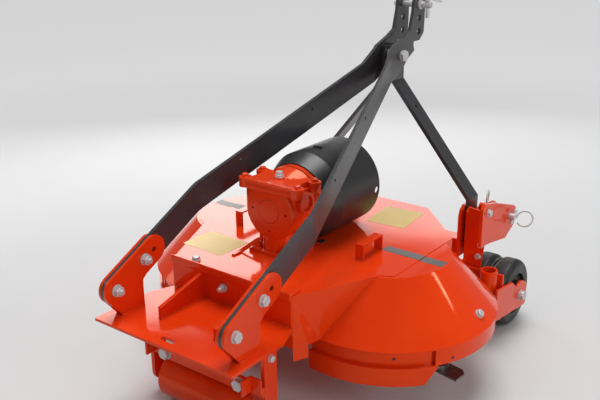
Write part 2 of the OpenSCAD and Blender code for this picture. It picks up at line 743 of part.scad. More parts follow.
// Upright socket on the cross plate behind the wheels
module wheel_socket(side) color(orange) placed() on_side(side) {
    low = 130;
    difference() {
        union() {
            translate([socket_x, socket_y, low]) cylinder(h = socket_z - low, r = socket_r);
            translate([plate_in, web_y, web_foot]) cube([plate_out - plate_in, web_t, web_z - web_foot]);
        }
        translate([socket_x, socket_y, low - cut]) cylinder(h = socket_z - low + 2 * cut, r = socket_r - 6);
    }
}
module wheel_socket_left() wheel_socket(-1);
module wheel_socket_right() wheel_socket(1);

// Two plates that carry the wheel axle; the outer one runs back past the cross plate
module wheel_plates(side) color(orange) placed() on_side(side) {
    tip_r = 46;
    rear = web_y - 50;
    side_plate(plate_out, plate_out + fork_t) difference() {
        union() {
            translate([wheel_y, wheel_r]) circle(tip_r);
            polygon([[rear, wheel_r - 20], [wheel_y + 42, wheel_r - 50], [wheel_y + 52, wheel_r - 42], [wheel_y + 49, wheel_r + 22],
                [wheel_y + 40, wheel_r + 31], [wheel_y - 38, wheel_r + 41], [wheel_y - 66, wheel_r + 67], [rear, wheel_r + 83]]);
        }
        translate([wheel_y, wheel_r]) circle(axle_d / 2 + 0.2);
    }
    side_plate(plate_in, plate_in + fork_t) difference() {
        union() {
            translate([wheel_y, wheel_r]) circle(tip_r - 14);
            polygon([[web_y + web_t, web_foot], [wheel_y, wheel_r - 31], [wheel_y, wheel_r + 31], [web_y + web_t, web_z - 40]]);
        }
        translate([wheel_y, wheel_r]) circle(axle_d / 2 + 0.2);
    }
}
module wheel_plates_left() wheel_plates(-1);
module wheel_plates_right() wheel_plates(1);

// Axle bolt of a pair of wheels
module wheel_axle(side) color(zinc) placed() on_side(side) {
    at = [wheel_y, wheel_r];
    cross_bar(plate_in - 12, plate_out + fork_t + 12, at, axle_d / 2);
    for (x = [plate_in - 14, plate_out + fork_t]) cross_bar(x, x + 14, at, axle_d / 2 + 3);
}
module wheel_axle_left() wheel_axle(-1);
module wheel_axle_right() wheel_axle(1);

// Twin support wheels with rounded treads on a common hub, a thin disc between them
module wheels(side) color(black) placed() on_side(side) {
    bore = axle_d / 2 + shaft_gap;
    shoulder = 20;
    disc_r = wheel_r - 7;
    translate([wheel_x, wheel_y, wheel_r]) rotate([0, 90, 0]) {
        for (s = [-1, 1]) translate([0, 0, s * wheel_gap / 2]) rotate_extrude() difference() {
            union() {
                translate([bore, -wheel_w / 2]) square([wheel_r - shoulder - bore, wheel_w]);
                translate([bore, -wheel_w / 2 + shoulder]) square([wheel_r - bore, wheel_w - 2 * shoulder]);
                for (t = [-1, 1]) translate([wheel_r - shoulder, t * (wheel_w / 2 - shoulder)]) circle(shoulder);
            }
            translate([wheel_r / 2, s * wheel_w / 2]) square([24, 24], center = true);
        }
        rotate_extrude() translate([bore, -wheel_gap / 2 + wheel_w / 2 - cut]) square([disc_r - bore, wheel_gap - wheel_w + 2 * cut]);
    }
}
module wheels_left() wheels(-1);
module wheels_right() wheels(1);

// Legs that hold the roller below the shelf
module roller_legs() color(orange) placed()
    for (side = [-1, 1]) on_side(side) side_plate(roller_leg_x, roller_leg_x + roller_leg_t) difference() {
        union() {
            translate([-roller_back, roller_r]) circle(roller_leg_half);
            translate([-roller_back - roller_leg_half, roller_r]) square([roller_leg_w, shelf_z - shelf_t - roller_r]);
        }
        translate([-roller_back, roller_r]) circle(roller_axle_d / 2 + shaft_gap);
    }

// Bar across the rear of the roller legs
module roller_bar() color(orange) placed()
    translate([0, -roller_back - roller_leg_half, roller_bar_z + roller_bar_h / 2]) rotate([90, 0, 0])
        linear_extrude(roller_bar_t) {
            square([2 * roller_half + 8, roller_bar_h], center = true);
            square([2 * (roller_leg_x + roller_leg_t), roller_tongue_h], center = true);
        }

// Roller drum with its stub axles
module rear_roller() color(orange) placed() {
    at = [-roller_back, roller_r];
    reach = roller_leg_x + roller_leg_t + 6;
    cross_bar(-roller_half, roller_half, at, roller_r);
    cross_bar(-reach, reach, at, roller_axle_d / 2);
}

deck_shell();
belt_case();
rim_skirt_left();
rim_skirt_right();
rear_wall();
rear_gusset();
rear_shelf();
arm_bracket_left();
arm_bracket_right();
rear_arm_left();
rear_arm_right();
front_leg_left();
front_leg_right();
mast_spacer();
top_link_pin();
front_beam();
link_bracket_left();
link_bracket_right();
link_pin_left();
link_pin_right();
gearbox_housing();
gearbox_lid();
gearbox_cover();
breather();
shaft_guard();
drive_stub();
hook_left();
hook_right();
spindle_housing_left();
spindle_housing_right();
rotor_left();
rotor_right();
blades_left();
blades_right();
wheel_socket_left();
wheel_socket_right();
wheel_plates_left();
wheel_plates_right();
wheel_axle_left();
wheel_axle_right();
wheels_left();
wheels_right();
roller_legs();
roller_bar();
rear_roller();
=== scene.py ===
import math

import bmesh
import bpy
from mathutils import Matrix, Vector


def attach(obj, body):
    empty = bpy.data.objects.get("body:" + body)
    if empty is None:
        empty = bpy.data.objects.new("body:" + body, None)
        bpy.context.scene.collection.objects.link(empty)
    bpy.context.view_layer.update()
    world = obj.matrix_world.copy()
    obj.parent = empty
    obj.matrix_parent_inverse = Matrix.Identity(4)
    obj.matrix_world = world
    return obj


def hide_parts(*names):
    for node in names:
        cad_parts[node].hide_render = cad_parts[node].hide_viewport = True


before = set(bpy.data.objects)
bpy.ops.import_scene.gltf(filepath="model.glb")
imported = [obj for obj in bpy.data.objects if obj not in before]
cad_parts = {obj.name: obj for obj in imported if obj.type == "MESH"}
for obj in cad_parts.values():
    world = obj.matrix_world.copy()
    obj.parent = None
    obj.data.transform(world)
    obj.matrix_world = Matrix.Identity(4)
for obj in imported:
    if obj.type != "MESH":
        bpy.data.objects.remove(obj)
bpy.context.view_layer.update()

# Deck shell with the rim bands, skirts and belt case: bent and rolled sheet steel, welded at its seams
# and sprayed with glossy orange enamel. The sheet's folds are a few millimetres round, so a bevel and
# smooth shading go on the solids without a change to their meshes.


def shade(tree, kind, settings=None, **inputs):
    """Adds a shader node, sets its options, and sets or links the named inputs."""
    made = tree.nodes.new("ShaderNode" + kind)
    for name, value in (settings or {}).items():
        setattr(made, name, value)
    for name, value in inputs.items():
        socket = made.inputs[name.replace("_", " ")]
        if isinstance(value, bpy.types.NodeSocket):
            tree.links.new(value, socket)
        else:
            socket.default_value = value
    return made


def effect_group(name, inputs, outputs):
    """Starts a shader node group with named inputs and outputs; colours have four numbers."""
    tree = bpy.data.node_groups.new(name, "ShaderNodeTree")
    for side, sockets in (("INPUT", inputs), ("OUTPUT", outputs)):
        for label, value in sockets.items():
            kind = "NodeSocketColor" if isinstance(value, tuple) else "NodeSocketFloat"
            tree.interface.new_socket(label, in_out=side, socket_type=kind).default_value = value
    return tree, tree.nodes.new("NodeGroupInput").outputs, tree.nodes.new("NodeGroupOutput").inputs


def stretch(tree, value, low, high, to_low=0.0, to_high=1.0):
    """Maps a value from one range to another and clamps it."""
    ranged = shade(tree, "MapRange", From_Min=low, From_Max=high, To_Min=to_low, To_Max=to_high, Value=value)
    return ranged.outputs["Result"]


def blend_colours(tree, fac, first, second):
    """Goes from one colour to another as a value goes from 0 to 1."""
    return shade(tree, "MixRGB", Fac=fac, Color1=first, Color2=second).outputs["Color"]


def combine(tree, first, second, operation="MULTIPLY"):
    """Multiplies two values, or joins them by another operation."""
    maths = tree.nodes.new("ShaderNodeMath")
    maths.operation = operation
    for socket, value in zip(maths.inputs, (first, second)):
        if isinstance(value, bpy.types.NodeSocket):
            tree.links.new(value, socket)
        else:
            socket.default_value = value
    return maths.outputs["Value"]


# The film of paint: soft drift of tone, dust on faces that look up, grime near the ground,
# orange peel and small runs in the gloss.
film, given, out = effect_group(
    "paint film",
    {"Colour": (0.8, 0.1, 0.02, 1.0), "Shade": (0.6, 0.06, 0.01, 1.0), "Dust": 0.1, "Grime": 0.2,
     "Gloss low": 0.15, "Gloss high": 0.3, "Peel scale": 300.0},
    {"Colour": (0.0, 0.0, 0.0, 1.0), "Roughness": 0.0, "Height": 0.0})
dust_colour, grime_colour = (0.50, 0.42, 0.36, 1.0), (0.10, 0.075, 0.05, 1.0)
splash_low, splash_high = 0.02, 0.24
place = shade(film, "TexCoord").outputs["Object"]
drift = shade(film, "TexNoise", Vector=place, Scale=5.0, Detail=3.0, Roughness=0.55).outputs["Fac"]
specks = shade(film, "TexNoise", Vector=place, Scale=55.0, Detail=6.0, Roughness=0.7).outputs["Fac"]
peel = shade(film, "TexNoise", Vector=place, Scale=given["Peel scale"], Detail=2.0).outputs["Fac"]
height_z = shade(film, "SeparateXYZ", Vector=place).outputs["Z"]
up = shade(film, "SeparateXYZ", Vector=shade(film, "NewGeometry").outputs["Normal"]).outputs["Z"]
settled = combine(film, stretch(film, specks, 0.5, 0.74), stretch(film, up, 0.5, 1.0))
dust = combine(film, settled, given["Dust"])
low_down = stretch(film, height_z, splash_low, splash_high, 1.0, 0.0)
splash = combine(film, low_down, stretch(film, specks, 0.38, 0.68))
grime = combine(film, splash, given["Grime"])
toned = blend_colours(film, stretch(film, drift, 0.34, 0.7), given["Colour"], given["Shade"])
dusty = blend_colours(film, dust, toned, dust_colour)
film.links.new(blend_colours(film, grime, dusty, grime_colour), out["Colour"])
gloss = stretch(film, drift, 0.3, 0.7, given["Gloss low"], given["Gloss high"])
dulled = combine(film, dust, combine(film, grime, 0.4), "ADD")
film.links.new(combine(film, gloss, dulled, "ADD"), out["Roughness"])
film.links.new(combine(film, combine(film, peel, 0.7), combine(film, drift, 0.6), "ADD"), out["Height"])


def finish_of(name, group, bump, distance, values, **fixed):
    """Makes a material from an effect group; fixed values go straight on the shader."""
    made = bpy.data.materials.new(name)
    made.use_nodes = True
    tree = made.node_tree
    tree.nodes.clear()
    effect = tree.nodes.new("ShaderNodeGroup")
    effect.node_tree = group
    for label, value in values.items():
        effect.inputs[label].default_value = value
    relief = shade(tree, "Bump", Strength=bump, Distance=distance, Height=effect.outputs["Height"])
    skin = shade(tree, "BsdfPrincipled", Base_Color=effect.outputs["Colour"],
                 Roughness=effect.outputs["Roughness"], Normal=relief.outputs["Normal"], **fixed)
    shade(tree, "OutputMaterial", Surface=skin.outputs["BSDF"])
    return made


orange_enamel = finish_of(
    "orange enamel", film, 0.06, 0.0004,
    {"Colour": (0.83, 0.050, 0.005, 1.0), "Shade": (0.77, 0.040, 0.004, 1.0), "Dust": 0.03, "Grime": 0.12,
     "Gloss low": 0.06, "Gloss high": 0.13, "Peel scale": 420.0},
    Specular_IOR_Level=0.75, Specular_Tint=(1.0, 0.30, 0.12, 1.0))

# Smooth shading of a solid: its faces are smooth, and edges sharper than a fold stay sharp.
smooth = bpy.data.node_groups.new("smooth by fold", "GeometryNodeTree")
smooth.interface.new_socket("Geometry", in_out="INPUT", socket_type="NodeSocketGeometry")
smooth.interface.new_socket("Geometry", in_out="OUTPUT", socket_type="NodeSocketGeometry")
fold_socket = smooth.interface.new_socket("Fold", in_out="INPUT", socket_type="NodeSocketFloat")
solid_in = smooth.nodes.new("NodeGroupInput")
solid_out = smooth.nodes.new("NodeGroupOutput")
faces = smooth.nodes.new("GeometryNodeSetShadeSmooth")
edges = smooth.nodes.new("GeometryNodeSetShadeSmooth")
edges.domain = "EDGE"
edges.inputs["Shade Smooth"].default_value = False
angle = smooth.nodes.new("GeometryNodeInputMeshEdgeAngle")
fold = smooth.nodes.new("FunctionNodeCompare")
fold.operation = "GREATER_THAN"
smooth.links.new(solid_in.outputs["Fold"], fold.inputs["B"])
smooth.links.new(angle.outputs["Unsigned Angle"], fold.inputs["A"])
smooth.links.new(solid_in.outputs["Geometry"], faces.inputs["Geometry"])
smooth.links.new(faces.outputs["Geometry"], edges.inputs["Geometry"])
smooth.links.new(fold.outputs["Result"], edges.inputs["Selection"])
smooth.links.new(edges.outputs["Geometry"], solid_out.inputs["Geometry"])


def dress(material, edge, *names, crease=35):
    """Gives solids their material, edges rounded by a radius, and smooth faces up to a crease angle."""
    for name in names:
        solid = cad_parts[name]
        solid.data.materials.clear()
        solid.data.materials.append(material)
        solid.modifiers.new("merge", "WELD").merge_threshold = 0.00002
        flat = solid.modifiers.new("whole faces", "DECIMATE")
        flat.decimate_type = "DISSOLVE"
        flat.angle_limit = math.radians(0.6)
        if edge:
            round_edges = solid.modifiers.new("round edges", "BEVEL")
            round_edges.width = edge
            round_edges.segments = 2
            round_edges.limit_method = "ANGLE"
            round_edges.angle_limit = math.radians(32)
            round_edges.use_clamp_overlap = True
            round_edges.loop_slide = False
        shading = solid.modifiers.new("smooth", "NODES")
        shading.node_group = smooth
        shading[fold_socket.identifier] = math.radians(crease)
        if edge:
            solid.modifiers.new("flat faces", "WEIGHTED_NORMAL").keep_sharp = True


dress(orange_enamel, 0.0016, "deck_shell", crease=12)
dress(orange_enamel, 0.0010, "rim_skirt_left", "rim_skirt_right", "belt_case", crease=20)

# Blank foils on the deck: pale yellow plates and dark grey bands of self-adhesive vinyl, 0.4 mm thick
# with round corners, pressed on to the flat top; the bands run over the step at the edge of the top.
deck_top, step_edge = 0.366, 0.346
foil_thick, foil_corner = 0.0004, 0.004
step_down, step_half = 0.002, 0.0004


def begin(add, name, **where):
    """Adds a primitive as a new piece and opens it in edit mode."""
    bpy.ops.object.select_all(action="DESELECT")
    add(**where)
    bpy.context.object.name = name
    bpy.ops.object.mode_set(mode="EDIT")
    return bpy.context.object


def pick(kind, test):
    """Selects in edit mode the faces, edges or corners whose middle and normal pass a test."""
    bpy.ops.mesh.select_mode(type=kind)
    bpy.ops.mesh.select_all(action="DESELECT")
    shape = bmesh.from_edit_mesh(bpy.context.edit_object.data)
    for part in {"FACE": shape.faces, "EDGE": shape.edges, "VERT": shape.verts}[kind]:
        corners = [part] if kind == "VERT" else part.verts
        middle = sum((corner.co for corner in corners), Vector()) / len(corners)
        normal = part.normal if kind != "EDGE" else (corners[1].co - corners[0].co).normalized()
        if test(middle, normal):
            part.select_set(True)
    bmesh.update_edit_mesh(bpy.context.edit_object.data)


def pull(x, y, z):
    """Extrudes what is selected by a step."""
    bpy.ops.mesh.extrude_region_move(TRANSFORM_OT_translate={"value": (x, y, z)})


def carry(step):
    """Moves the whole mesh in edit mode."""
    bpy.ops.mesh.select_all(action="SELECT")
    bpy.ops.transform.translate(value=step)


def foil(name, material, middle, size, turned=0, step_x=None):
    """A foil on the deck at a place, with its size and its turn in degrees, let down past a step."""
    made = begin(bpy.ops.mesh.primitive_plane_add, name, size=1.0)
    bpy.ops.transform.resize(value=(size[0], size[1], 1.0))
    bpy.ops.mesh.bevel(offset=foil_corner, segments=3, affect="VERTICES")
    pull(0.0, 0.0, foil_thick)
    carry(middle)
    if turned:
        bpy.ops.transform.rotate(value=math.radians(turned), orient_axis="Z", center_override=middle)
    if step_x:
        for cut in (step_x - step_half, step_x + step_half):
            bpy.ops.mesh.select_all(action="SELECT")
            bpy.ops.mesh.bisect(plane_co=(cut, 0.0, 0.0), plane_no=(1.0, 0.0, 0.0))
        pick("VERT", lambda at, normal: abs(at.x) > abs(step_x))
        bpy.ops.transform.translate(value=(0.0, 0.0, -step_down))
    bpy.ops.mesh.select_all(action="SELECT")
    bpy.ops.mesh.normals_make_consistent(inside=False)
    bpy.ops.object.mode_set(mode="OBJECT")
    made.data.materials.append(material)
    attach(made, "frame")


yellow_foil = finish_of(
    "yellow foil", film, 0.05, 0.0003,
    {"Colour": (0.78, 0.56, 0.17, 1.0), "Shade": (0.70, 0.48, 0.13, 1.0), "Dust": 0.08, "Grime": 0.0,
     "Gloss low": 0.32, "Gloss high": 0.45, "Peel scale": 300.0})
grey_foil = finish_of(
    "dark grey foil", film, 0.05, 0.0003,
    {"Colour": (0.085, 0.072, 0.066, 1.0), "Shade": (0.064, 0.054, 0.049, 1.0), "Dust": 0.08, "Grime": 0.0,
     "Gloss low": 0.28, "Gloss high": 0.40, "Peel scale": 300.0})
foil("yellow_foil_right", yellow_foil, middle=(0.127, 0.2705, deck_top), size=(0.126, 0.146), turned=-5)
foil("yellow_foil_left", yellow_foil, middle=(-0.179, -0.2065, deck_top), size=(0.148, 0.115), turned=2)
foil("grey_foil_right", grey_foil, middle=(0.321, 0.0465, deck_top), size=(0.188, 0.035), step_x=step_edge)
foil("grey_foil_left", grey_foil, middle=(-0.321, 0.0595, deck_top), size=(0.188, 0.035), step_x=-step_edge)

# Rear wall, gussets, shelf and arm brackets: plate cut to shape, folded or stood on edge and welded
# together, then sprayed with the deck in the same orange enamel.
dress(orange_enamel, 0.0012, "rear_wall", "rear_gusset", "rear_shelf",
      "arm_bracket_left", "arm_bracket_right")

# Lip on top of the rear wall: a strip of flat steel with rounded long edges, laid against the wall's
# rear face so that it stands a little above the deck, welded on and painted with the wall.
wall_y = -0.3525
lip_l, lip_t, lip_low, lip_top = 0.408, 0.0050, 0.3555, 0.3775


def close(piece, material, smooth_angle=19):
    """Leaves edit mode with outward normals, smooth faces, the place in the mesh and the material on."""
    bpy.ops.mesh.select_all(action="SELECT")
    bpy.ops.mesh.normals_make_consistent(inside=False)
    bpy.ops.object.mode_set(mode="OBJECT")
    bpy.ops.object.transform_apply(location=True, rotation=True, scale=True)
    bpy.ops.object.shade_smooth_by_angle(angle=math.radians(smooth_angle))
    piece.data.materials.clear()
    piece.data.materials.append(material)
    return piece


lip = begin(bpy.ops.mesh.primitive_cube_add, "rear_wall_lip", size=1.0)
bpy.ops.transform.resize(value=(lip_l, lip_t, lip_top - lip_low))
pick("EDGE", lambda middle, along: abs(along.x) > 0.9)
bpy.ops.mesh.bevel(offset=0.0012, segments=3)
carry((0.0, wall_y - lip_t / 2, (lip_low + lip_top) / 2))
close(lip, orange_enamel)
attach(lip, "frame")

# Weld beads at the feet of the rear plates, the strap hooks and the wheel sockets: ripples of filler
# metal, laid along the inner corners and painted over with the plates that they join.
shelf_z, gusset_top, gusset_foot_y = 0.281, 0.352, -0.5105
gusset_faces, bracket_in, bracket_out = (0.0900, 0.1000), 0.186, 0.212


def join(name, pieces, body):
    """Joins copies into one piece that rides on a body."""
    bpy.ops.object.select_all(action="DESELECT")
    for piece in pieces:
        piece.select_set(True)
    bpy.context.view_layer.objects.active = pieces[0]
    if len(pieces) > 1:
        bpy.ops.object.join()
    pieces[0].name = name
    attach(pieces[0], body)
    return pieces[0]


def lay(piece, start, end):
    """Moves a mesh to the middle of a line and turns its Z axis along the line."""
    turn = (end - start).to_track_quat("Z", "Y").to_matrix().to_4x4()
    piece.data.transform(Matrix.Translation((start + end) / 2) @ turn)


def bead(start, end, size=0.0032, pitch=0.0042):
    """A rippled weld bead from one point to another."""
    start, end = Vector(start), Vector(end)
    length = (end - start).length
    cuts = max(3, int(length / pitch))
    step = length / (cuts + 1)
    made = begin(bpy.ops.mesh.primitive_cylinder_add, "bead", vertices=10, radius=size, depth=length)
    pick("EDGE", lambda middle, along: abs(along.z) > 0.9)
    bpy.ops.mesh.subdivide(number_cuts=cuts)
    pick("VERT", lambda at, normal: round((at.z + length / 2) / step) % 2 == 1)
    bpy.ops.transform.resize(value=(0.80, 0.80, 1.0))
    pick("VERT", lambda at, normal: abs(at.z) > length / 2 - 0.0001)
    bpy.ops.transform.resize(value=(0.45, 0.45, 1.0))
    close(made, orange_enamel, 60)
    lay(made, start, end)
    return made


seams = [((-0.20, wall_y, shelf_z), (0.20, wall_y, shelf_z))]
for side in (-1, 1):
    for face in gusset_faces:
        seams.append(((side * face, wall_y, shelf_z), (side * face, gusset_foot_y, shelf_z)))
        seams.append(((side * face, wall_y, shelf_z), (side * face, wall_y, gusset_top)))
    for face in (bracket_in, bracket_out):
        seams.append(((side * face, -0.551, shelf_z), (side * face, -0.479, shelf_z)))
join("rear_carrier_welds", [bead(start, end) for start, end in seams], "frame")
hook_feet_y, hook_in, hook_out = (-0.0645, 0.0345), 0.203, 0.227
socket_seams_x, socket_seam_y, socket_low, socket_high = (0.3961, 0.4239), 0.3705, 0.135, 0.216
seams = []
for side in (-1, 1):
    for foot_y in hook_feet_y:
        seams.append(((side * hook_in, foot_y, deck_top), (side * hook_out, foot_y, deck_top)))
    for seam_x in socket_seams_x:
        x = side * seam_x
        seams.append(((x, socket_seam_y, socket_low), (x, socket_seam_y, socket_high)))
join("strap_and_socket_welds", [bead(start, end, 0.0026) for start, end in seams], "frame")

# A-frame of flat bar: two arms from the rear brackets to the mast and two legs down to the lower links.
# Hot rolled bar, bent and punched, in a satin charcoal powder coat.
charcoal_coat = finish_of(
    "charcoal powder coat", film, 0.22, 0.0004,
    {"Colour": (0.046, 0.046, 0.051, 1.0), "Shade": (0.032, 0.031, 0.034, 1.0), "Dust": 0.06, "Grime": 0.1,
     "Gloss low": 0.22, "Gloss high": 0.34, "Peel scale": 900.0},
    Specular_IOR_Level=0.6)
dress(charcoal_coat, 0.0012, "rear_arm_left", "rear_arm_right", "front_leg_left", "front_leg_right")

# Mast spacer, top-link pin and lower-link pins: turned from steel bar, zinc plated and passivated,
# pushed through the holes of the bars and cheeks.
plating, given, out = effect_group(
    "plated metal",
    {"Colour": (0.6, 0.6, 0.58, 1.0), "Tarnish": (0.4, 0.36, 0.3, 1.0), "Stain": 0.3,
     "Gloss low": 0.2, "Gloss high": 0.4},
    {"Colour": (0.0, 0.0, 0.0, 1.0), "Roughness": 0.0, "Height": 0.0})
place = shade(plating, "TexCoord").outputs["Object"]
cloud = shade(plating, "TexNoise", Vector=place, Scale=70.0, Detail=5.0, Roughness=0.65).outputs["Fac"]
tool_marks = shade(plating, "TexNoise", Vector=place, Scale=900.0, Detail=2.0).outputs["Fac"]
spots = combine(plating, stretch(plating, cloud, 0.5, 0.72), given["Stain"])
plating.links.new(blend_colours(plating, spots, given["Colour"], given["Tarnish"]), out["Colour"])
gloss = stretch(plating, cloud, 0.3, 0.7, given["Gloss low"], given["Gloss high"])
plating.links.new(gloss, out["Roughness"])
plating.links.new(combine(plating, tool_marks, combine(plating, cloud, 0.5), "ADD"), out["Height"])
zinc_plate = finish_of(
    "zinc plate", plating, 0.08, 0.0003,
    {"Colour": (0.62, 0.63, 0.64, 1.0), "Tarnish": (0.42, 0.39, 0.34, 1.0), "Stain": 0.35,
     "Gloss low": 0.44, "Gloss high": 0.58},
    Metallic=0.55)
dress(zinc_plate, 0.0008, "mast_spacer", "top_link_pin", "link_pin_left", "link_pin_right")

# Hexagon bolts and nuts on washers: rolled steel, zinc plated. One is modelled for each size and copied
# to its places. They hold the arms to the brackets, the flange of the rear wall, the cones and the
# cheeks of the lower links.


def hexagon(name, across, high, washer, stud=0.0):
    """A bolt head, or a nut with the bolt's end standing out of it, on a washer that lies on Z = 0."""
    disc = 0.0026
    top = disc + high
    chamfer = across * 0.05
    flank = high - chamfer
    made = begin(bpy.ops.mesh.primitive_cylinder_add, name, vertices=40, radius=washer, depth=disc,
                 location=(0, 0, disc / 2))
    bpy.ops.object.mode_set(mode="OBJECT")
    bpy.ops.object.transform_apply(location=True)
    bpy.ops.object.mode_set(mode="EDIT")
    pick("FACE", lambda middle, normal: normal.z > 0.9)
    bpy.ops.mesh.bevel(offset=0.0007, segments=2)
    bpy.ops.mesh.select_all(action="DESELECT")
    bpy.ops.mesh.primitive_cylinder_add(vertices=6, radius=across / math.sqrt(3), depth=flank,
                                        location=(0, 0, disc + flank / 2))
    pick("FACE", lambda middle, normal: normal.z > 0.9 and middle.z > disc + flank - 0.0001)
    bpy.ops.mesh.inset(thickness=across * 0.08, depth=chamfer)
    bpy.ops.mesh.inset(thickness=across * 0.06, depth=-0.0004 if not stud else 0.0)
    if stud:
        thread = stud / 8
        bpy.ops.mesh.select_all(action="DESELECT")
        bpy.ops.mesh.primitive_cylinder_add(vertices=24, radius=across * 0.31, depth=stud,
                                            location=(0, 0, top + stud / 2 - 0.0005))
        pick("FACE", lambda middle, normal: normal.z > 0.9 and middle.z > top + stud * 0.8)
        bpy.ops.mesh.bevel(offset=across * 0.05, segments=1)
        pick("EDGE", lambda middle, along: abs(along.z) > 0.9 and middle.z > top
             and middle.xy.length > across * 0.28)
        bpy.ops.mesh.subdivide(number_cuts=7)
        pick("VERT", lambda at, normal: at.z > top + 0.0004 and at.xy.length > across * 0.3
             and round((at.z - top) / thread) % 2 == 0)
        bpy.ops.transform.resize(value=(0.9, 0.9, 1.0))
    return close(made, zinc_plate)


def set_on(model, at, facing, spin=0.2):
    """Copies a model with its own mesh, its foot on a point and its Z axis along a direction."""
    copy = bpy.data.objects.new(model.name, model.data.copy())
    bpy.context.collection.objects.link(copy)
    lie = Vector(facing).to_track_quat("Z", "Y").to_matrix().to_4x4()
    copy.data.transform(Matrix.Translation(Vector(at)) @ lie @ Matrix.Rotation(spin, 4, "Z"))
    return copy


head_m10 = hexagon("head_m10", across=0.016, high=0.0064, washer=0.010)
head_m12 = hexagon("head_m12", across=0.019, high=0.0080, washer=0.0125)
head_m16 = hexagon("head_m16", across=0.024, high=0.0100, washer=0.0155)
head_m20 = hexagon("head_m20", across=0.030, high=0.0125, washer=0.0195)
nut_m12 = hexagon("nut_m12", across=0.019, high=0.0100, washer=0.0125, stud=0.010)
nut_m16 = hexagon("nut_m16", across=0.024, high=0.0130, washer=0.0165, stud=0.008)

arm_holes = ((-0.5655, 0.3560), (-0.4657, 0.4068))
bracket_bolts = []
for y, z in arm_holes:
    for side in (-1, 1):
        bracket_bolts.append(set_on(head_m16, (side * bracket_out, y, z), (side, 0, 0), 0.3))
        bracket_bolts.append(set_on(nut_m16, (side * bracket_in, y, z), (-side, 0, 0), 0.1))
join("arm_bracket_bolts", bracket_bolts, "frame")

flange_bolt_x, flange_bolt_y, flange_top = 0.132, -0.3340, 0.372
wall_bolts = []
for side in (-1, 1):
    wall_bolts.append(set_on(head_m12, (side * flange_bolt_x, flange_bolt_y, flange_top), (0, 0, 1)))
wall_bolts.append(set_on(nut_m12, (-0.017, wall_y, 0.329), (0, -1, 0)))
join("rear_wall_bolts", wall_bolts, "frame")

cone_bolts = []
for side in (-1, 1):
    cone_bolts.append(set_on(head_m12, (side * 0.5213, 0.0457, 0.2515), (side * 0.74, 0.02, 0.67)))
join("cone_bolts", cone_bolts, "frame")

cheek_out, web_rear_y = 0.378, 0.3915
cheek_bolts = []
for side in (-1, 1):
    cheek_bolts.append(set_on(head_m12, (side * cheek_out, 0.3866, 0.3994), (side, 0, 0)))
    for x, z in ((0.358, 0.290), (0.352, 0.250)):
        cheek_bolts.append(set_on(head_m10, (side * x, web_rear_y, z), (0, -1, 0)))
join("cheek_bolts", cheek_bolts, "frame")

# Clips at the roller legs: short strips of plate bent round the rear edge of each leg, with round
# corners, welded on and painted. One is modelled and mirrored to the other side.
clip_l, clip_t, clip_high, clip_flange = 0.032, 0.006, 0.042, 0.030
clip = begin(bpy.ops.mesh.primitive_cube_add, "leg_clip", size=1.0)
bpy.ops.transform.resize(value=(clip_l, clip_t, clip_high))
pick("FACE", lambda middle, normal: normal.x > 0.9)
pull(clip_t, 0.0, 0.0)
pick("FACE", lambda middle, normal: normal.y > 0.9 and middle.x > 0.0165)
pull(0.0, clip_flange, 0.0)
pick("EDGE", lambda middle, along: abs(along.z) > 0.9 and middle.x > 0.0165 and middle.y < 0.0)
bpy.ops.mesh.bevel(offset=0.004, segments=3)
pick("EDGE", lambda middle, along: abs(along.y) > 0.9 and middle.x < -0.0155)
bpy.ops.mesh.bevel(offset=0.006, segments=3)
close(clip, orange_enamel)
clips = []
for side in (-1, 1):
    copy = set_on(clip, (0.0, 0.0, 0.0), (0, 0, 1), 0.0)
    mirrored = Matrix.Diagonal((side, 1.0, 1.0, 1.0))
    copy.data.transform(Matrix.Translation((side * 0.187, -0.4695, 0.169)) @ mirrored)
    if side < 0:
        copy.data.flip_normals()
    clips.append(copy)
join("roller_leg_clips", clips, "frame")

# Bolts of the roller's bar and legs, heads of the mast bolt and nuts of the wheel axles: the same rolled
# and plated steel, the last two in sizes of their own.
mast_head = hexagon("mast_head", across=0.032, high=0.0115, washer=0.0175)
axle_nut = hexagon("axle_nut", across=0.0275, high=0.0142, washer=0.0170)
bar_rear_y, leg_out = -0.4665, 0.203
roller_bolts = [set_on(head_m20, (side * 0.130, bar_rear_y, 0.152), (0, -1, 0), 0.4) for side in (-1, 1)]
roller_bolts += [set_on(head_m10, (side * leg_out, -0.433, 0.2345), (side, 0, 0)) for side in (-1, 1)]
join("roller_bolts", roller_bolts, "frame")

mast_out = 0.034
mast_heads = [set_on(mast_head, (side * mast_out, 0.4395, 0.8273), (side, 0, 0)) for side in (-1, 1)]
join("mast_bolt_heads", mast_heads, "frame")

plate_out, plate_in, axle_y, axle_z = 0.454, 0.286, 0.4985, 0.107
axle_nuts = [set_on(axle_nut, (side * plate_out, axle_y, axle_z), (side, 0, 0)) for side in (-1, 1)]
axle_nuts += [set_on(axle_nut, (side * plate_in, axle_y, axle_z), (-side, 0, 0)) for side in (-1, 1)]
join("axle_nuts", axle_nuts, "frame")

# Linch pins with spring rings in the ends of the link pins: a turned pin with a shouldered head and a
# ring of round spring wire whose ends sit in the head, all zinc plated.
ring_wire_r, ring_gap = 0.0028, math.radians(20)


